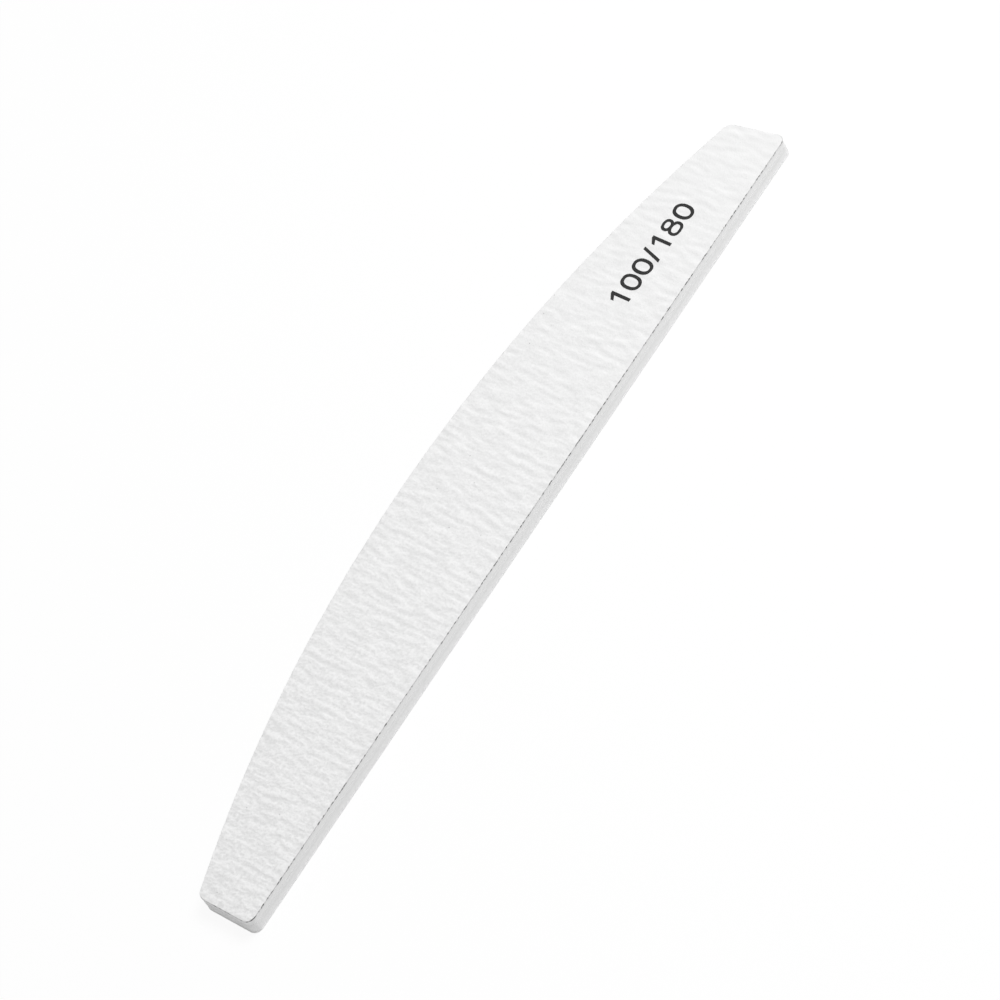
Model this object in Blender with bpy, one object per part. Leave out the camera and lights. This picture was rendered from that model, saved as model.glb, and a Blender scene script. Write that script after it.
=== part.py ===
"""Half-moon nail file: a flat laminated board, die-cut from bonded layers.

The board lies flat, in metres. Its length runs along X, the straight edge faces -Y, the bowed
edge faces +Y and the coarse side is up. The origin is the middle of the lower face.
A stiff plastic core lies in the middle. Outwards from it, on each side, come an adhesive film,
a foam pad, another film and a sheet of abrasive paper.
"""

import math

import bmesh
import bpy
from mathutils import Vector

MM = 0.001

# Outline of the die, before its corners are rounded
BOARD_LENGTH = 178.0 * MM  # along the straight edge
BOARD_WIDTH = 26.9 * MM  # from the straight edge to the crown of the bow
END_WIDTH = 12.5 * MM  # from the straight edge to the corner where the bow starts
END_SLANT = 0.9 * MM  # how far that corner lies in from the end of the straight edge
STRAIGHT_CORNER_RADIUS = 1.6 * MM
BOW_CORNER_RADIUS = 1.8 * MM
BOW_STEPS = 56
CORNER_STEPS = 9
POINT_MERGE = 0.0001 * MM  # two arcs that meet share the point where they do

# Layers
SHEET_THICKNESS = 0.4 * MM  # backing paper, resin and grit
FILM_THICKNESS = 0.1 * MM
PAD_THICKNESS = 1.0 * MM
CORE_THICKNESS = 0.8 * MM

# Walls of the layers, as the die leaves them
RIM_ROLL = 0.12 * MM  # radius that the die presses on the rim of the sheet it enters
RIM_STEPS = 3
FILM_SETBACK = 0.06 * MM
PAD_SETBACK = 0.06 * MM  # at both faces of a pad
PAD_DRAW_IN = 0.06 * MM  # further in than that at half the pad's height
PAD_STEPS = 6
CORE_SETBACK = 0.02 * MM

BOARD_NAME = "nail_file"


def linear(channel):
    """One sRGB channel from 0 to 255 as a linear value from 0 to 1."""
    share = channel / 255
    return share / 12.92 if share <= 0.04045 else ((share + 0.055) / 1.055) ** 2.4


def make_material(name, srgb, roughness):
    """A plain dielectric finish from an sRGB colour."""
    material = bpy.data.materials.new(name)
    material.use_nodes = True
    shader = material.node_tree.nodes["Principled BSDF"]
    shader.inputs["Base Color"].default_value = (*(linear(channel) for channel in srgb), 1)
    shader.inputs["Roughness"].default_value = roughness
    shader.inputs["Metallic"].default_value = 0
    return material


def arc_between(centre, radius, start, end, steps):
    """One arc of the outline: its centre, radius and the directions that it passes through."""
    first = math.atan2(start.y - centre.y, start.x - centre.x)
    last = math.atan2(end.y - centre.y, end.x - centre.x)
    turn = (last - first) % math.tau
    angles = [first + turn * step / steps for step in range(steps + 1)]
    return centre, radius, [Vector((math.cos(angle), math.sin(angle))) for angle in angles]


def mirrored(point):
    return Vector((-point.x, point.y))


def outline_arcs():
    """The five arcs of the half-moon, anticlockwise from the right end of the straight edge.

    Straight lines join them: both ends and the straight edge. The bow passes through both bow
    corners and the crown, and each corner's arc is tangent to the two edges beside it.
    """
    straight_y = -BOARD_WIDTH / 2
    straight_corner = Vector((BOARD_LENGTH / 2, straight_y))
    bow_corner = straight_corner + Vector((-END_SLANT, END_WIDTH))
    rise = BOARD_WIDTH - END_WIDTH
    bow_radius = (bow_corner.x**2 + rise**2) / (2 * rise)
    bow_centre = Vector((0, BOARD_WIDTH / 2 - bow_radius))

    along_end = (bow_corner - straight_corner).normalized()
    inwards = Vector((-along_end.y, along_end.x))

    lower_y = straight_y + STRAIGHT_CORNER_RADIUS
    lower_x = straight_corner.x + (
        STRAIGHT_CORNER_RADIUS - STRAIGHT_CORNER_RADIUS * inwards.y
    ) / inwards.x
    lower_centre = Vector((lower_x, lower_y))
    lower_start = Vector((lower_x, straight_y))
    lower_end = lower_centre - inwards * STRAIGHT_CORNER_RADIUS

    # The bow corner's centre lies on a line beside the end and on a circle inside the bow.
    foot = straight_corner + inwards * BOW_CORNER_RADIUS - bow_centre
    reach = foot.dot(along_end)
    inner_radius = bow_radius - BOW_CORNER_RADIUS
    slide = math.sqrt(reach**2 - foot.length_squared + inner_radius**2) - reach
    upper_centre = bow_centre + foot + along_end * slide
    upper_start = upper_centre - inwards * BOW_CORNER_RADIUS
    upper_end = bow_centre + (upper_centre - bow_centre).normalized() * bow_radius

    def corner(centre, radius, start, end):
        return arc_between(centre, radius, start, end, CORNER_STEPS)

    return [
        corner(lower_centre, STRAIGHT_CORNER_RADIUS, lower_start, lower_end),
        corner(upper_centre, BOW_CORNER_RADIUS, upper_start, upper_end),
        arc_between(bow_centre, bow_radius, upper_end, mirrored(upper_end), BOW_STEPS),
        corner(mirrored(upper_centre), BOW_CORNER_RADIUS, mirrored(upper_end), mirrored(upper_start)),
        corner(
            mirrored(lower_centre), STRAIGHT_CORNER_RADIUS, mirrored(lower_end), mirrored(lower_start)
        ),
    ]


def outline(inset):
    """The half-moon drawn in by inset all round, as points running anticlockwise.

    The arcs keep their centres, so every inset outline has the same number of points.
    """
    points = []
    for centre, radius, directions in outline_arcs():
        arc = [centre + direction * (radius - inset) for direction in directions]
        if points and (arc[0] - points[-1]).length < POINT_MERGE:
            arc = arc[1:]
        points.extend(arc)
    return points


def add_layer(name, data, base, material):
    """Places a layer's mesh or curve with its own zero height at base, under the board's empty."""
    data.materials.append(material)
    layer = bpy.data.objects.new(name, data)
    layer.location.z = base
    layer.parent = bpy.data.objects[BOARD_NAME + "_origin"]
    bpy.data.collections[BOARD_NAME].objects.link(layer)


def add_flat_layer(name, base, thickness, inset, material):
    """A layer with square walls: the outline as a filled curve, extruded. Returns its top height."""
    curve = bpy.data.curves.new(name, "CURVE")
    curve.dimensions = "2D"
    curve.fill_mode = "BOTH"
    curve.extrude = thickness / 2
    spline = curve.splines.new("POLY")
    points = outline(inset)
    spline.points.add(len(points) - 1)
    for knot, point in zip(spline.points, points):
        knot.co = (point.x, point.y, 0, 1)
    spline.use_cyclic_u = True
    add_layer(name, curve, base + thickness / 2, material)
    return base + thickness


def add_shaped_layer(name, base, profile, material):
    """A layer whose wall follows profile, pairs of height and inset. Returns its top height.

    One ring of the outline is laid at each pair, and the rings are bridged and capped.
    """
    bm = bmesh.new()
    rings = []
    for height, inset in profile:
        corners = [bm.verts.new((point.x, point.y, height)) for point in outline(inset)]
        sides = [bm.edges.new(pair) for pair in zip(corners, corners[1:] + corners[:1])]
        rings.append((corners, sides))
    for (_, lower), (_, upper) in zip(rings, rings[1:]):
        bmesh.ops.bridge_loops(bm, edges=lower + upper)
    bm.faces.new(rings[0][0])
    bm.faces.new(rings[-1][0])
    bmesh.ops.recalc_face_normals(bm, faces=bm.faces)
    mesh = bpy.data.meshes.new(name)
    bm.to_mesh(mesh)
    bm.free()
    mesh.shade_smooth()
    mesh.set_sharp_from_angle(angle=math.radians(40))
    add_layer(name, mesh, base, material)
    return base + profile[-1][0]


def add_rolled_sheet(name, base, material):
    """The abrasive sheet that the die enters: its upper rim is pressed round."""
    profile = [(0, 0)]
    for step in range(RIM_STEPS + 1):
        angle = math.pi / 2 * step / RIM_STEPS
        height = SHEET_THICKNESS - RIM_ROLL * (1 - math.sin(angle))
        profile.append((height, RIM_ROLL * (1 - math.cos(angle))))
    return add_shaped_layer(name, base, profile, material)


def add_foam_pad(name, base, material):
    """A foam pad, whose wall springs back behind the die's cut and is deepest at half height."""
    profile = []
    for step in range(PAD_STEPS + 1):
        share = step / PAD_STEPS
        inset = PAD_SETBACK + PAD_DRAW_IN * 4 * share * (1 - share)
        profile.append((PAD_THICKNESS * share, inset))
    return add_shaped_layer(name, base, profile, material)


def add_film(name, base, material):
    """A film of pressure-sensitive adhesive, the full outline less a small setback."""
    return add_flat_layer(name, base, FILM_THICKNESS, FILM_SETBACK, material)


def clear_scene():
    for leftover in list(bpy.data.objects):
        bpy.data.objects.remove(leftover, do_unlink=True)


def build_board():
    collection = bpy.data.collections.new(BOARD_NAME)
    bpy.context.scene.collection.children.link(collection)
    origin = bpy.data.objects.new(BOARD_NAME + "_origin", None)
    collection.objects.link(origin)

    coarse_paper = make_material("coarse_abrasive_paper", (238, 238, 238), 0.85)
    fine_paper = make_material("fine_abrasive_paper", (236, 236, 236), 0.8)
    foam = make_material("white_foam", (232, 232, 232), 0.9)
    adhesive = make_material("clear_adhesive", (214, 214, 210), 0.5)
    plastic = make_material("white_polystyrene", (240, 240, 238), 0.45)

    top = add_flat_layer("fine_abrasive_sheet", 0, SHEET_THICKNESS, 0, fine_paper)
    top = add_film("fine_sheet_adhesive", top, adhesive)
    top = add_foam_pad("lower_foam_pad", top, foam)
    top = add_film("lower_core_adhesive", top, adhesive)
    top = add_flat_layer("plastic_core", top, CORE_THICKNESS, CORE_SETBACK, plastic)
    top = add_film("upper_core_adhesive", top, adhesive)
    top = add_foam_pad("upper_foam_pad", top, foam)
    top = add_film("coarse_sheet_adhesive", top, adhesive)
    add_rolled_sheet("coarse_abrasive_sheet", top, coarse_paper)


clear_scene()
build_board()
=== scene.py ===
import math

import bmesh
import bpy
from mathutils import Matrix, Vector, noise


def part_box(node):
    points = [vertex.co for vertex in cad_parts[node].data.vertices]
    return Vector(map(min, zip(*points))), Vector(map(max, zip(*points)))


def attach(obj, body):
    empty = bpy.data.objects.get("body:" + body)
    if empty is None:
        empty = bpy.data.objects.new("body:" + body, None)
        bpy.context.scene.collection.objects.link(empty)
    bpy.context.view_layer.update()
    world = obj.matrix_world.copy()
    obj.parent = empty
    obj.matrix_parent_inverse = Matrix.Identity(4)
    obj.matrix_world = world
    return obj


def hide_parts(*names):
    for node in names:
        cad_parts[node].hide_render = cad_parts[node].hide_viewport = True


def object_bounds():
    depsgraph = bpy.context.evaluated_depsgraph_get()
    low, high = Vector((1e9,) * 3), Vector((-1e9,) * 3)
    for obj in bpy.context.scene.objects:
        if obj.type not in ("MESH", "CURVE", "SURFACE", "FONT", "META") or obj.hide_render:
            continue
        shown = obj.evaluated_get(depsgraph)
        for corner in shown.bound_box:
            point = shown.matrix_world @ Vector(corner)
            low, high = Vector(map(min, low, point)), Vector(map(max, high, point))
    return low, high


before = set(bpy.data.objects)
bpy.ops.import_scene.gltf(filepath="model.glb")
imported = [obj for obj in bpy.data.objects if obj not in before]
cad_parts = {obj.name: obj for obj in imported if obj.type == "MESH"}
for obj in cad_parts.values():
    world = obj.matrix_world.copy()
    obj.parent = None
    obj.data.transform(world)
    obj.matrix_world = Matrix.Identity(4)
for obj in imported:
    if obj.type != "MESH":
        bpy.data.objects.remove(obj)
cad_low, cad_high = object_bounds()


# Plastic core
# The stiff middle of the board is a strip of white polystyrene, 0.8 mm thick.
# The die shears it with everything else, so its wall keeps faint upright shear marks.
MM = 0.001
CORE_COLOUR = "#e3e3e3"
SHEAR_MARK_SPACING = 0.35 * MM
SHEAR_MARK_LENGTH = 2.5 * MM
SHEAR_MARK_DEPTH = 0.005 * MM


def linear_colour(srgb_hex):
    """An sRGB hex colour as linear RGBA."""
    shares = [int(srgb_hex[start:start + 2], 16) / 255 for start in (1, 3, 5)]
    linear = [s / 12.92 if s <= 0.04045 else ((s + 0.055) / 1.055) ** 2.4 for s in shares]
    return (*linear, 1)


def start_material(name, colour, roughness, ior):
    """A dielectric finish with a plain colour. Returns the material and its shader."""
    material = bpy.data.materials.new(name)
    material.use_nodes = True
    shader = material.node_tree.nodes["Principled BSDF"]
    shader.inputs["Base Color"].default_value = linear_colour(colour)
    shader.inputs["Roughness"].default_value = roughness
    shader.inputs["IOR"].default_value = ior
    return material, shader


def add_node(owner, kind, inputs, **settings):
    """Adds a node to a material or to the world.

    settings go on the node itself, and inputs are values or sockets to link.
    """
    made = owner.node_tree.nodes.new(kind)
    for name, value in settings.items():
        setattr(made, name, value)
    for name, value in inputs.items():
        if isinstance(value, bpy.types.NodeSocket):
            owner.node_tree.links.new(value, made.inputs[name])
        else:
            made.inputs[name].default_value = value
    return made


# Sheared polystyrene is satin and almost featureless, apart from the upright marks.
polystyrene, core_shader = start_material(
    "sheared_polystyrene", CORE_COLOUR, roughness=0.45, ior=1.59
)
place = add_node(polystyrene, "ShaderNodeTexCoord", {})
shear_cells = add_node(polystyrene, "ShaderNodeMapping", {
    "Vector": place.outputs["Object"],
    "Scale": (1 / SHEAR_MARK_SPACING, 1 / SHEAR_MARK_SPACING, 1 / SHEAR_MARK_LENGTH),
})
shear_marks = add_node(polystyrene, "ShaderNodeTexNoise", {
    "Vector": shear_cells.outputs["Vector"],
    "Scale": 1.0,
    "Detail": 2.0,
})
shear_bump = add_node(polystyrene, "ShaderNodeBump", {
    "Height": shear_marks.outputs["Fac"],
    "Distance": SHEAR_MARK_DEPTH,
})
polystyrene.node_tree.links.new(shear_bump.outputs["Normal"], core_shader.inputs["Normal"])
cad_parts["plastic_core"].material_slots[0].material = polystyrene


# Adhesive films
# Four films of clear acrylic pressure-sensitive adhesive, 0.1 mm thick, bond the layers.
# Their cut edges show as thin satin lines, a little greyer where dust sticks to them.
FILM_NODES = (
    "fine_sheet_adhesive",
    "lower_core_adhesive",
    "upper_core_adhesive",
    "coarse_sheet_adhesive",
)
FILM_COLOUR = "#e8e8e7"
DUST_COLOUR = "#dedede"
DUST_PATCH = 0.8 * MM
MIX_FACTOR, MIX_FROM, MIX_TO, MIX_RESULT = 0, 6, 7, 2  # sockets of a Mix node set to colours

acrylic, film_shader = start_material("acrylic_adhesive", FILM_COLOUR, roughness=0.55, ior=1.48)
place = add_node(acrylic, "ShaderNodeTexCoord", {})
dust = add_node(acrylic, "ShaderNodeTexNoise", {
    "Vector": place.outputs["Object"],
    "Scale": 1 / DUST_PATCH,
    "Detail": 3.0,
})
dusty_film = add_node(acrylic, "ShaderNodeMix", {
    MIX_FACTOR: dust.outputs["Fac"],
    MIX_FROM: linear_colour(FILM_COLOUR),
    MIX_TO: linear_colour(DUST_COLOUR),
}, data_type="RGBA")
acrylic.node_tree.links.new(dusty_film.outputs[MIX_RESULT], film_shader.inputs["Base Color"])
for film_node in FILM_NODES:
    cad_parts[film_node].material_slots[0].material = acrylic


# Foam pads
# Two pads of white closed-cell foam, 1 mm thick, let the board give under a nail.
# The die squeezes them and cuts their cells open, and their walls spring back to stand just
# behind the paper's.
FOAM_COLOUR = "#e9e9e9"
FOAM_SLICE = 0.2 * MM
CELL_SIZE = 0.22 * MM
CELL_DEPTH = 0.012 * MM  # of the dents in the mesh
CELL_WALL_DEPTH = 0.012 * MM  # of the finer relief in the material
SPRING_BACK = 0.05 * MM  # how far the middle of a wall comes out again once the die lifts
WELD = 0.0001 * MM
FLAT_ANGLE = math.radians(0.1)
SHARP_ANGLE = math.radians(50)
LEAST_OUTWARD = 0.01  # a vertex whose faces look out less than this isn't on a wall


def welded_copy(node):
    """A mesh of a CAD node for shaping, its loose triangles merged and its flat faces whole."""
    bm = bmesh.new()
    bm.from_mesh(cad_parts[node].data)
    bmesh.ops.remove_doubles(bm, verts=bm.verts, dist=WELD)
    bmesh.ops.dissolve_limit(bm, angle_limit=FLAT_ANGLE, verts=bm.verts, edges=bm.edges)
    return bm


def slice_along(bm, faces, axis, spacing):
    """Cuts the faces into slices of about the spacing along one axis."""
    low = min(vert.co[axis] for vert in bm.verts)
    high = max(vert.co[axis] for vert in bm.verts)
    count = round((high - low) / spacing)
    normal = Vector((0, 0, 0))
    normal[axis] = 1
    ahead = list(faces)
    for step in range(1, count):
        reached = low + (high - low) * step / count
        edges = dict.fromkeys(edge for face in ahead for edge in face.edges)
        verts = dict.fromkeys(vert for face in ahead for vert in face.verts)
        cut = bmesh.ops.bisect_plane(
            bm, geom=[*verts, *edges, *ahead], dist=WELD, plane_co=normal * reached, plane_no=normal
        )
        ahead = [
            part for part in cut["geom"]
            if isinstance(part, bmesh.types.BMFace)
            and max(vert.co[axis] for vert in part.verts) > reached + WELD
        ]


def faces_off(bm, *heights):
    """The faces that don't lie flat at one of the heights."""
    return [
        face for face in bm.faces
        if not any(all(abs(vert.co.z - height) < WELD for vert in face.verts) for height in heights)
    ]


def outward_at(vert):
    """The level direction out of the board at a vertex of its wall, or none inside the outline."""
    total = Vector((0, 0, 0))
    for face in vert.link_faces:
        total += face.normal * (1 - abs(face.normal.z))
    total.z = 0
    return total.normalized() if total.length > LEAST_OUTWARD else total


def finish_piece(bm, name, materials, node=None):
    """Turns a shaped mesh into a piece of the board that may stand for a CAD node."""
    mesh = bpy.data.meshes.new(name)
    bm.to_mesh(mesh)
    bm.free()
    mesh.shade_smooth()
    mesh.set_sharp_from_angle(angle=SHARP_ANGLE)
    for material in materials:
        mesh.materials.append(material)
    piece = bpy.data.objects.new(name, mesh)
    bpy.context.scene.collection.objects.link(piece)
    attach(piece, "root")
    if node:
        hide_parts(node)
    return piece


# Cut closed-cell foam is dull and matte: every cell is a small dent that scatters the light.
foam, foam_shader = start_material("cut_closed_cell_foam", FOAM_COLOUR, roughness=0.95, ior=1.45)
place = add_node(foam, "ShaderNodeTexCoord", {})
cells = add_node(foam, "ShaderNodeTexVoronoi", {
    "Vector": place.outputs["Object"],
    "Scale": 1 / CELL_SIZE,
})
cell_bump = add_node(foam, "ShaderNodeBump", {
    "Height": cells.outputs["Distance"],
    "Distance": CELL_WALL_DEPTH,
})
foam.node_tree.links.new(cell_bump.outputs["Normal"], foam_shader.inputs["Normal"])

for pad_node in ("lower_foam_pad", "upper_foam_pad"):
    pad_low, pad_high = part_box(pad_node)
    bm = welded_copy(pad_node)
    for axis in (0, 1):
        slice_along(bm, faces_off(bm, pad_low.z, pad_high.z), axis, FOAM_SLICE)
    bm.normal_update()
    for vert in bm.verts:
        up = (vert.co.z - pad_low.z) / (pad_high.z - pad_low.z)
        bulge = SPRING_BACK * 4 * up * (1 - up)
        dent = CELL_DEPTH * (0.5 + 0.5 * noise.noise(vert.co / CELL_SIZE))
        vert.co += outward_at(vert) * (bulge - dent)
    pad = finish_piece(bm, pad_node + "_cut", [foam], pad_node)


# Abrasive sheets
# Each outer side is white crepe paper coated with resin and white aluminium oxide grit.
# Its ridges run across the board, broken and wavy, and the die leaves a ragged grey rim.
COCKLE_SPACING = 1.5 * MM  # cockles are the long waves that run through the ridges
COCKLE_LENGTH = 5.0 * MM
COCKLE_SHARE = 0.36  # weight of the cockles in the height of the crepe, which is 1 in all
RIDGE_SPACING = 1.7 * MM
RIDGE_GRAIN = 1.0 * MM  # grain of the noise that the ridges are sifted from
RIDGE_LENGTH = 3.6 * MM
RIDGE_SHARE = 0.52
RIDGE_SLANT_SHARE = 0.08  # how far a ridge runs along the board as it crosses
RIDGE_LEAN = 0.3 * MM  # how far it wanders from that
LEAN_PATCH = 4.0 * MM
CRINKLE_SPACING = 0.38 * MM  # crinkles are the short creases between and on the ridges
CRINKLE_LENGTH = 0.6 * MM
CRINKLE_SHARE = 1.06
RIDGE_FADE = 0.45  # share of the ridges' height that is lost from the plain end to the numbered end
CRINKLE_FADE = 0.9  # the same for the crinkles and the mottle
HEIGHT_LAYER = "crepe_height"
THICKNESS_LAYER = "sheet_thickness_share"  # 0 on the glued side of a sheet and 1 on its grit
FINE_SHEET_SHARE = 0.7  # ridges of the fine sheet against those of the coarse one
RIDGE_DEPTH = 0.13 * MM
SLICE_ALONG = 0.2 * MM
SLICE_ACROSS = 0.33 * MM
RIM_TOP_SHARE = 0.8  # a face whose normal rises by less than this counts as cut
RIM_RAGGEDNESS = 0.03 * MM
RIM_TOOTH = 0.3 * MM
RIDGE_COLOUR = "#fcfcfc"
# painted shade at the bottom of the furrows, against the paper's near white on the ridges
FURROW_SHADE_COLOUR = "#e9e9e9"
MOTTLE_COLOUR = "#ececec"
MOTTLE_SIZE = 0.4 * MM
NOISE_MIDDLE = 0.5
GRIT_SIZE = 0.3 * MM  # 100 grit is 0.16 mm, too fine to show, so it is drawn twice as coarse
GRIT_DEPTH = 0.04 * MM
SPECK_SPACING = 4.5 * MM
SPECK_SIZE = 0.12 * MM
GRAIN_SHADOW_COLOUR = "#bebebe"
CUT_PAPER_COLOUR = "#f1f1f1"
CUT_COAT_COLOUR = "#cccccc"
CHIP_SHADOW_COLOUR = "#767676"
CHIP_SIZE = 0.42 * MM  # a clump of two or three grains
CHIP_SHARE = 0.35
PAPER_SHARE = 0.2  # of the sheet's thickness, with the resin and grit above it
COAT_SEAM_SHARE = 0.1


def crepe(x, y, share, seed):
    """Height of the crepe at a point, from 0 in the deepest furrow to 1 on the highest ridge.

    share is the size of the pattern against the coarse sheet's, and seed gives each its own.
    """
    way = (x - cad_low.x) / (cad_high.x - cad_low.x)  # from the plain end to the numbered one
    leant = x - RIDGE_SLANT_SHARE * y
    leant += RIDGE_LEAN * noise.noise(Vector((x / LEAN_PATCH, y / LEAN_PATCH, seed)))

    def waves(along, spacing, length):
        return noise.noise(Vector((along / spacing / share, y / length / share, seed)))

    # Noise less the same noise half a spacing further on keeps only the waves of that spacing.
    beside = RIDGE_SPACING * share / 4
    ridges = RIDGE_SHARE * waves(leant + beside, RIDGE_GRAIN, RIDGE_LENGTH)
    ridges -= RIDGE_SHARE * waves(leant - beside, RIDGE_GRAIN, RIDGE_LENGTH)
    ridges += COCKLE_SHARE * waves(leant, COCKLE_SPACING, COCKLE_LENGTH)
    crinkles = CRINKLE_SHARE * waves(leant, CRINKLE_SPACING, CRINKLE_LENGTH)
    relief = ridges * (1 - RIDGE_FADE * way) + crinkles * (1 - CRINKLE_FADE * way)
    return min(max(0.5 + relief, 0), 1)


def grit_paper(name, share):
    """White oxide grit in resin on crepe paper: dull and mottled, with a few dark specks of painted
    shadow under raised grains.
    """
    material, shader = start_material(name, RIDGE_COLOUR, roughness=0.85, ior=1.5)
    place = add_node(material, "ShaderNodeTexCoord", {})
    grains = add_node(material, "ShaderNodeTexVoronoi", {
        "Vector": place.outputs["Object"],
        "Scale": 1 / (GRIT_SIZE * share),
    })
    mottle = add_node(material, "ShaderNodeTexNoise", {
        "Vector": place.outputs["Object"],
        "Scale": 1 / (MOTTLE_SIZE * share),
        "Detail": 2.0,
    })
    # Towards the numbered end the mottle keeps less of its swing about the middle of the noise.
    axes = add_node(material, "ShaderNodeSeparateXYZ", {"Vector": place.outputs["Object"]})
    swing_kept = add_node(material, "ShaderNodeMapRange", {
        "Value": axes.outputs["X"],
        "From Min": cad_low.x,
        "From Max": cad_high.x,
        "To Min": 1.0,
        "To Max": 1 - CRINKLE_FADE,
    })
    off_middle = add_node(material, "ShaderNodeMath", {
        0: mottle.outputs["Fac"],
        1: NOISE_MIDDLE,
    }, operation="SUBTRACT")
    mottle_share = add_node(material, "ShaderNodeMath", {
        0: off_middle.outputs["Value"],
        1: swing_kept.outputs["Result"],
        2: NOISE_MIDDLE,
    }, operation="MULTIPLY_ADD")
    # Painted shade: the colour darkens from the ridges down into the furrows, following the crepe's
    # height.
    height = add_node(material, "ShaderNodeAttribute", {}, attribute_name=HEIGHT_LAYER)
    painted_crepe_shade = add_node(material, "ShaderNodeMix", {
        MIX_FACTOR: height.outputs["Fac"],
        MIX_FROM: linear_colour(FURROW_SHADE_COLOUR),
        MIX_TO: linear_colour(RIDGE_COLOUR),
    }, data_type="RGBA")
    mottled = add_node(material, "ShaderNodeMix", {
        MIX_FACTOR: mottle_share.outputs["Value"],
        MIX_FROM: painted_crepe_shade.outputs[MIX_RESULT],
        MIX_TO: linear_colour(MOTTLE_COLOUR),
    }, data_type="RGBA", blend_type="MULTIPLY")
    # A few small dark specks are painted shadow under raised grit grains.
    grain_shadow_cells = add_node(material, "ShaderNodeTexVoronoi", {
        "Vector": place.outputs["Object"],
        "Scale": 1 / SPECK_SPACING,
    })
    is_grain_shadow = add_node(material, "ShaderNodeMath", {
        0: grain_shadow_cells.outputs["Distance"],
        1: SPECK_SIZE / SPECK_SPACING,
    }, operation="LESS_THAN")
    grain_shadowed = add_node(material, "ShaderNodeMix", {
        MIX_FACTOR: is_grain_shadow.outputs["Value"],
        MIX_FROM: mottled.outputs[MIX_RESULT],
        MIX_TO: linear_colour(GRAIN_SHADOW_COLOUR),
    }, data_type="RGBA")
    bump = add_node(material, "ShaderNodeBump", {
        "Height": grains.outputs["Distance"],
        "Distance": GRIT_DEPTH * share,
    })
    material.node_tree.links.new(grain_shadowed.outputs[MIX_RESULT], shader.inputs["Base Color"])
    material.node_tree.links.new(bump.outputs["Normal"], shader.inputs["Normal"])
    return material


# The sheared edge of the sheet is white paper under grey resin and grit, with painted shadow in the
# chips where the die broke grains out.
cut_paper, cut_shader = start_material(
    "sheared_grit_paper", CUT_PAPER_COLOUR, roughness=0.9, ior=1.5
)
place = add_node(cut_paper, "ShaderNodeTexCoord", {})
rim_cells = add_node(cut_paper, "ShaderNodeTexVoronoi", {
    "Vector": place.outputs["Object"],
    "Scale": 1 / CHIP_SIZE,
})
cell_lot = add_node(cut_paper, "ShaderNodeSeparateColor", {"Color": rim_cells.outputs["Color"]})
is_shaded_chip = add_node(cut_paper, "ShaderNodeMath", {
    0: cell_lot.outputs["Red"],
    1: CHIP_SHARE,
}, operation="LESS_THAN")
# The chips are painted dark to stand for the shadow inside them.
coat_and_chip_shadow = add_node(cut_paper, "ShaderNodeMix", {
    MIX_FACTOR: is_shaded_chip.outputs["Value"],
    MIX_FROM: linear_colour(CUT_COAT_COLOUR),
    MIX_TO: linear_colour(CHIP_SHADOW_COLOUR),
}, data_type="RGBA")
through = add_node(cut_paper, "ShaderNodeAttribute", {}, attribute_name=THICKNESS_LAYER)
is_coat = add_node(cut_paper, "ShaderNodeMapRange", {
    "Value": through.outputs["Fac"],
    "From Min": PAPER_SHARE - COAT_SEAM_SHARE / 2,
    "From Max": PAPER_SHARE + COAT_SEAM_SHARE / 2,
})
cut_mix = add_node(cut_paper, "ShaderNodeMix", {
    MIX_FACTOR: is_coat.outputs["Result"],
    MIX_FROM: linear_colour(CUT_PAPER_COLOUR),
    MIX_TO: coat_and_chip_shadow.outputs[MIX_RESULT],
}, data_type="RGBA")
cut_paper.node_tree.links.new(cut_mix.outputs[MIX_RESULT], cut_shader.inputs["Base Color"])


def abrasive_sheet(node, slot, share, seed, grit_height, glued_height, wall_material):
    """Makes the sheet that stands for a CAD node, with ridges on the side at grit_height.

    Its wall has wall_material, or the same paper where that is None.
    """
    bm = welded_copy(node)
    for axis, spacing in ((0, SLICE_ALONG), (1, SLICE_ACROSS)):
        slice_along(bm, faces_off(bm, glued_height), axis, spacing)
    bm.normal_update()
    for face in bm.faces:
        face.material_index = 1 if abs(face.normal.z) < RIM_TOP_SHARE else 0
    # A new layer moves those before it, so both are made before either is looked up.
    for layer in (HEIGHT_LAYER, THICKNESS_LAYER):
        bm.verts.layers.float.new(layer)
    height_layer = bm.verts.layers.float[HEIGHT_LAYER]
    thickness_layer = bm.verts.layers.float[THICKNESS_LAYER]
    for vert in bm.verts:
        raised = (vert.co.z - glued_height) / (grit_height - glued_height)
        vert[thickness_layer] = raised
        vert[height_layer] = crepe(vert.co.x, vert.co.y, share, seed)
        depth = RIDGE_DEPTH * share * (1 - vert[height_layer])
        tooth = noise.noise(vert.co / RIM_TOOTH + Vector((0, 0, seed)))
        vert.co.z -= math.copysign(raised * depth, grit_height - glued_height)
        vert.co += outward_at(vert) * RIM_RAGGEDNESS * tooth
    paper = grit_paper(slot + "_grit", share)
    finish_piece(bm, node + "_crepe", [paper, wall_material or paper], node)


COARSE_SEED, FINE_SEED = 4, 41
coarse_low, coarse_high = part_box("coarse_abrasive_sheet")
fine_low, fine_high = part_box("fine_abrasive_sheet")
abrasive_sheet(
    "coarse_abrasive_sheet", "coarse_abrasive_paper", share=1, seed=COARSE_SEED,
    grit_height=coarse_high.z, glued_height=coarse_low.z, wall_material=cut_paper
)
abrasive_sheet(
    "fine_abrasive_sheet", "fine_abrasive_paper", share=FINE_SHEET_SHARE, seed=FINE_SEED,
    grit_height=fine_low.z, glued_height=fine_high.z, wall_material=None
)


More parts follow.
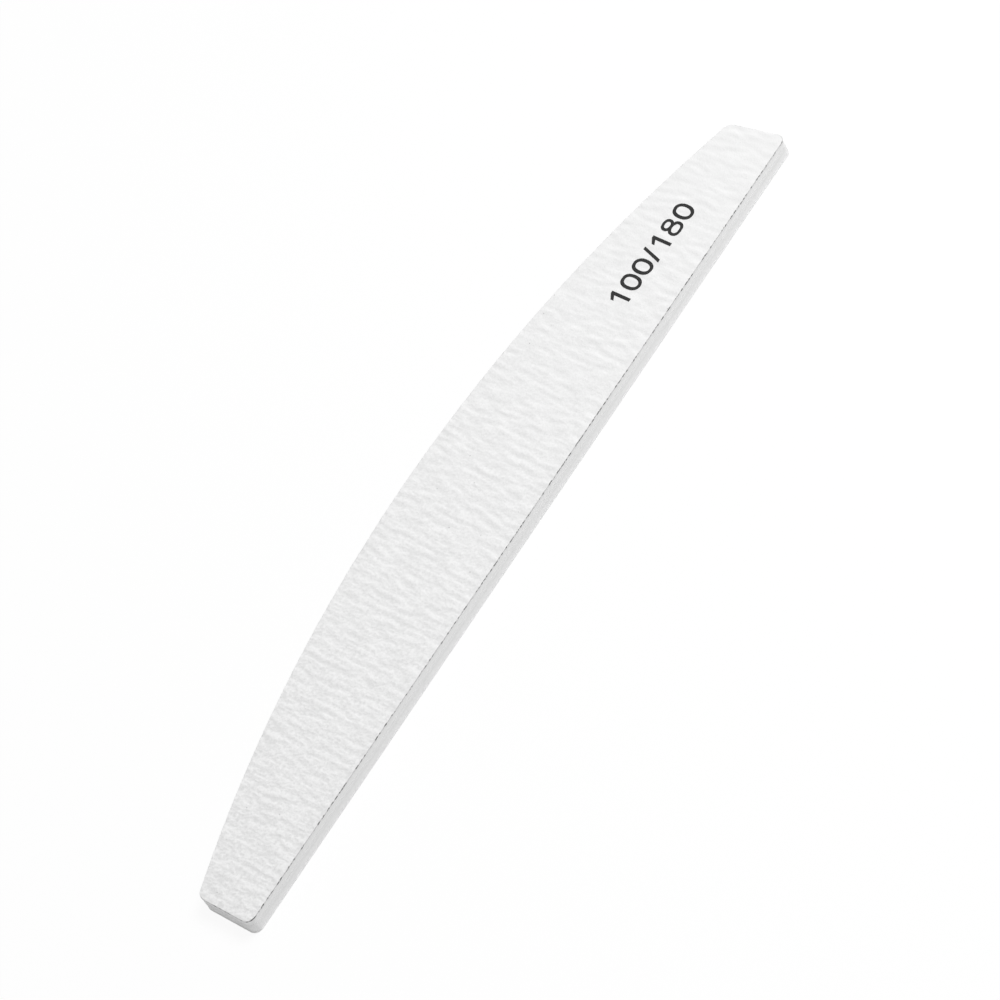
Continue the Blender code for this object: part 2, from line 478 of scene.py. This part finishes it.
# Grit numbers
# The two grits are screen printed in black ink near one end of the coarse side.
# The ink is a few hundredths of a millimetre thick, lies on the crepe and follows its ridges.
INK_COLOUR = "#0e0e0e"
WORN_INK_COLOUR = "#262626"
INK_WEAR_PATCH = 0.4 * MM
INK_THICKNESS = 0.03 * MM
INK_RISE = 0.018 * MM  # of its upper face above the crepe, and the rest is sunk into it
INK_SLICE = 0.2 * MM
DIGIT_HEIGHT = 4.54 * MM
DIGIT_LEAN_SHARE = 0.05  # how far a digit leans forward for each unit of its height
STROKE = 0.7 * MM
EIGHT_STROKE = 0.62 * MM
RING_STEPS = 48
ZERO_WIDTH = 3.27 * MM
ONE_FLAG_REACH = 1.05 * MM
ONE_FLAG_DROP = 0.85 * MM
ONE_FLAG_ROOT_SHARE = 1.35  # of a stroke, from the top of the one to the underside of its flag
ONE_CROWN_SHARE = 0.5  # of half a stroke, from the middle of the stem to where its top ends
SLASH_LEAN = 1.25 * MM
SLASH_WIDTH = 0.66 * MM
EIGHT_UPPER_SIZE = (2.75 * MM, 2.34 * MM)  # width and height of each ring
EIGHT_LOWER_SIZE = (3.25 * MM, 2.72 * MM)
SQUARENESS = 2.3  # 2 gives an ellipse, and more gives fuller corners
PRINT_PLACE = Vector((47.12 * MM, -5.20 * MM))  # the middle of the first digit's foot
PRINT_TURN = math.radians(-2.5)
DIGIT_PLACES = (  # how far along the print each digit's middle lies
    ("one", 0.0 * MM),
    ("zero", 3.4 * MM),
    ("zero", 7.13 * MM),
    ("slash", 10.07 * MM),
    ("one", 13.36 * MM),
    ("eight", 16.69 * MM),
    ("zero", 20.45 * MM),
)


def ring(centre_height, width, height):
    """One closed line of a round digit, as points."""
    points = []
    for step in range(RING_STEPS):
        angle = math.tau * step / RING_STEPS
        across = math.copysign(abs(math.cos(angle)) ** (2 / SQUARENESS), math.cos(angle))
        along = math.copysign(abs(math.sin(angle)) ** (2 / SQUARENESS), math.sin(angle))
        points.append(Vector((across * width / 2, centre_height + along * height / 2)))
    return points


def inside_ring(point, centre_height, width, height):
    across = abs(2 * point.x / width) ** SQUARENESS
    return across + abs(2 * (point.y - centre_height) / height) ** SQUARENESS < 1


def digit_lines(digit):
    """The closed lines that bound a digit's ink, with its foot at zero height."""
    half = STROKE / 2
    if digit == "zero":
        middle = DIGIT_HEIGHT / 2
        inner = ring(middle, ZERO_WIDTH - 2 * STROKE, DIGIT_HEIGHT - 2 * STROKE)
        return [ring(middle, ZERO_WIDTH, DIGIT_HEIGHT), inner]
    if digit == "slash":
        foot, head = -SLASH_LEAN / 2, SLASH_LEAN / 2
        reach = SLASH_WIDTH / 2
        return [[
            Vector((foot - reach, 0)),
            Vector((foot + reach, 0)),
            Vector((head + reach, DIGIT_HEIGHT)),
            Vector((head - reach, DIGIT_HEIGHT)),
        ]]
    if digit == "one":
        tip = -half - ONE_FLAG_REACH
        return [[
            Vector((-half, 0)),
            Vector((half, 0)),
            Vector((half, DIGIT_HEIGHT)),
            Vector((-half * ONE_CROWN_SHARE, DIGIT_HEIGHT)),
            Vector((tip, DIGIT_HEIGHT - ONE_FLAG_DROP)),
            Vector((tip, DIGIT_HEIGHT - ONE_FLAG_DROP - STROKE)),
            Vector((-half, DIGIT_HEIGHT - STROKE * ONE_FLAG_ROOT_SHARE)),
        ]]
    upper = (DIGIT_HEIGHT - EIGHT_UPPER_SIZE[1] / 2, *EIGHT_UPPER_SIZE)
    lower = (EIGHT_LOWER_SIZE[1] / 2, *EIGHT_LOWER_SIZE)
    waist = Vector((0, (upper[0] - upper[2] / 2 + lower[0] + lower[2] / 2) / 2))
    outer = [point for point in ring(*upper) if not inside_ring(point, *lower)]
    outer += [point for point in ring(*lower) if not inside_ring(point, *upper)]
    # Seen from the waist, the outer line never doubles back, so its points sort by angle.
    outer.sort(key=lambda point: math.atan2(point.y - waist.y, point.x))
    holes = [ring(h, w - 2 * EIGHT_STROKE, t - 2 * EIGHT_STROKE) for h, w, t in (upper, lower)]
    return [outer, *holes]


# Screen ink is satin where it is whole and greyer where the grit shows through.
ink, ink_shader = start_material("black_screen_ink", INK_COLOUR, roughness=0.6, ior=1.5)
place = add_node(ink, "ShaderNodeTexCoord", {})
wear = add_node(ink, "ShaderNodeTexNoise", {
    "Vector": place.outputs["Object"],
    "Scale": 1 / INK_WEAR_PATCH,
    "Detail": 2.0,
})
worn_ink = add_node(ink, "ShaderNodeMix", {
    MIX_FACTOR: wear.outputs["Fac"],
    MIX_FROM: linear_colour(INK_COLOUR),
    MIX_TO: linear_colour(WORN_INK_COLOUR),
}, data_type="RGBA")
ink.node_tree.links.new(worn_ink.outputs[MIX_RESULT], ink_shader.inputs["Base Color"])

# Each digit is filled flat between its lines, and then the ink is sliced and laid on the crepe.
bm = bmesh.new()
for digit, along in DIGIT_PLACES:
    edges = []
    for line in digit_lines(digit):
        corners = []
        for point in line:
            point.x += along + DIGIT_LEAN_SHARE * point.y
            spot = PRINT_PLACE + Matrix.Rotation(PRINT_TURN, 2) @ point
            corners.append(bm.verts.new((*spot, 0)))
        edges += [bm.edges.new(pair) for pair in zip(corners, corners[1:] + corners[:1])]
    bmesh.ops.triangle_fill(bm, edges=edges, use_beauty=True, normal=(0, 0, 1))
for axis in (0, 1):
    slice_along(bm, list(bm.faces), axis, INK_SLICE)
for vert in bm.verts:
    depth = RIDGE_DEPTH * (1 - crepe(vert.co.x, vert.co.y, 1, COARSE_SEED))
    vert.co.z = coarse_high.z - depth + INK_RISE
bm.normal_update()
bmesh.ops.solidify(bm, geom=list(bm.faces), thickness=INK_THICKNESS)
bmesh.ops.recalc_face_normals(bm, faces=bm.faces)
finish_piece(bm, "grit_numbers", [ink])


# Floor
# A plain white sweep lies under the board.
# It looks white to the camera and keeps a soft shadow.
FLOOR_SIZE = 6.0  # metres
FLOOR_GAP = 0.02 * MM  # under the tops of the ridges that the board rests on
FLOOR_COLOUR = "#fafafa"
FLOOR_GLOW_COLOUR = "#ffffff"
FLOOR_GLOW_SHARE = 0.9

floor_mesh = bpy.data.meshes.new("floor")
bm = bmesh.new()
bmesh.ops.create_grid(bm, x_segments=1, y_segments=1, size=FLOOR_SIZE / 2)
bm.to_mesh(floor_mesh)
bm.free()
floor = bpy.data.objects.new("floor", floor_mesh)
floor.location.z = cad_low.z - FLOOR_GAP
bpy.context.scene.collection.objects.link(floor)

# Matt paint, which the camera sees glow white with a tenth of its own shade left in.
floor_paint, floor_shader = start_material("white_floor", FLOOR_COLOUR, roughness=1.0, ior=1.5)
floor_mesh.materials.append(floor_paint)
glow = add_node(floor_paint, "ShaderNodeEmission", {
    "Color": linear_colour(FLOOR_GLOW_COLOUR),
})
for_camera = add_node(floor_paint, "ShaderNodeMixShader", {
    0: FLOOR_GLOW_SHARE,
    1: floor_shader.outputs["BSDF"],
    2: glow.outputs["Emission"],
})
ray = add_node(floor_paint, "ShaderNodeLightPath", {})
seen = add_node(floor_paint, "ShaderNodeMixShader", {
    0: ray.outputs["Is Camera Ray"],
    1: floor_shader.outputs["BSDF"],
    2: for_camera.outputs["Shader"],
})
floor_output = floor_paint.node_tree.nodes["Material Output"]
floor_paint.node_tree.links.new(seen.outputs["Shader"], floor_output.inputs["Surface"])


# Light
# One large soft lamp stands high beyond the numbered end, on the straight edge's side.
# A white room fills in the rest.
LAMP_PLACE = Vector((0.336, -0.194, 0.671))  # metres
LAMP_SIZE = 0.4
LAMP_POWER = 3.95  # watts
ROOM_COLOUR = "#ffffff"
ROOM_LIGHT = 0.5  # the camera itself sees the room at 1, which is white

lamp_data = bpy.data.lights.new("soft_lamp", "AREA")
lamp_data.size = LAMP_SIZE
lamp_data.energy = LAMP_POWER
lamp = bpy.data.objects.new("soft_lamp", lamp_data)
lamp.location = LAMP_PLACE
lamp.rotation_euler = (-LAMP_PLACE).to_track_quat("-Z", "Y").to_euler()
bpy.context.scene.collection.objects.link(lamp)

room = bpy.data.worlds.new("white_room")
room.use_nodes = True
room_ray = add_node(room, "ShaderNodeLightPath", {})
room_strength = add_node(room, "ShaderNodeMapRange", {
    "Value": room_ray.outputs["Is Camera Ray"],
    "To Min": ROOM_LIGHT,
    "To Max": 1.0,
})
room_light = room.node_tree.nodes["Background"]
room_light.inputs["Color"].default_value = linear_colour(ROOM_COLOUR)
room.node_tree.links.new(room_strength.outputs["Result"], room_light.inputs["Strength"])
bpy.context.scene.world = room
bpy.context.scene.view_settings.view_transform = "Standard"


# Camera
# It looks down from the straight edge's side, past the plain end, and is turned so that the
# board lies across the picture's diagonal. The picture is square.
CAMERA_PLACE = Vector((-0.29506, -0.51113, 0.66692))  # metres
CAMERA_AIM = Vector((0.00342, -0.00291, -0.0007))
CAMERA_ROLL = math.radians(-31.873)
CAMERA_LENS = 180.0  # millimetres, like the sensor
SENSOR_WIDTH = 36.0

forward = (CAMERA_AIM - CAMERA_PLACE).normalized()
level_right = forward.cross(Vector((0, 0, 1))).normalized()
level_up = level_right.cross(forward)
right = level_right * math.cos(CAMERA_ROLL) + level_up * math.sin(CAMERA_ROLL)
turn = Matrix((right, right.cross(forward), -forward)).transposed()
camera_data = bpy.data.cameras.new("camera")
camera_data.lens = CAMERA_LENS
camera_data.sensor_width = SENSOR_WIDTH
camera = bpy.data.objects.new("camera", camera_data)
camera.matrix_world = Matrix.Translation(CAMERA_PLACE) @ turn.to_4x4()
bpy.context.scene.collection.objects.link(camera)
bpy.context.scene.camera = camera
